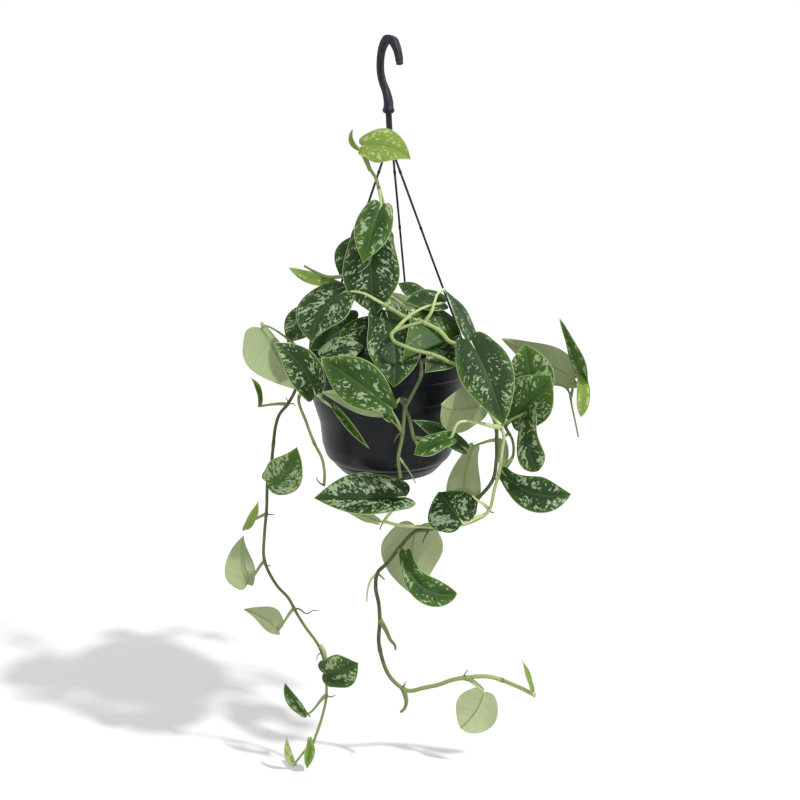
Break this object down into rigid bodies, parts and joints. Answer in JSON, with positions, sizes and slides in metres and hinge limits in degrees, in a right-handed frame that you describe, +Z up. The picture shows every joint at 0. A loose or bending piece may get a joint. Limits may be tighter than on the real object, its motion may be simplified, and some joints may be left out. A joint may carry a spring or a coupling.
{
  "type": "satin pothos in a hanging pot",
  "caption": "Trailing satin pothos with silver-flecked heart-shaped leaves, in a black hanging pot with saucer, strand hanger and open hook.",
  "frame": {"origin": "seat inside the hook, where the hanger rests on what it hangs from", "axes": "+Z up along the hanging axis, +X to the right of the plant seen from its front, -Y out of its front"},
  "size_m": [0.3565, 0.2227, 0.731],
  "materials": {
    "pot_plastic": "black moulded plastic, satin gloss, light dust",
    "hanger_plastic": "dark slate plastic with faint streaks",
    "soil": "dark moist potting mix, rough and crumbly",
    "foliage": "satin dark green leaf with silver flecks and pale margin, light green stalks"
  },
  "bodies": {
    "root": {"pot": "pot_plastic", "saucer": "pot_plastic", "soil": "soil", "hook": "hanger_plastic", "strand_right": "hanger_plastic", "strand_middle": "hanger_plastic", "strand_left": "hanger_plastic", "vine_top": "foliage", "vine_left_long": "foliage", "vine_left_short": "foliage", "vine_front": "foliage", "vine_right_light": "foliage", "vine_right_dark": "foliage", "vine_right_leafy": "foliage", "vine_right_up": "foliage", "vine_back_left": "foliage", "vine_back_right": "foliage"}
  },
  "joints": []
}
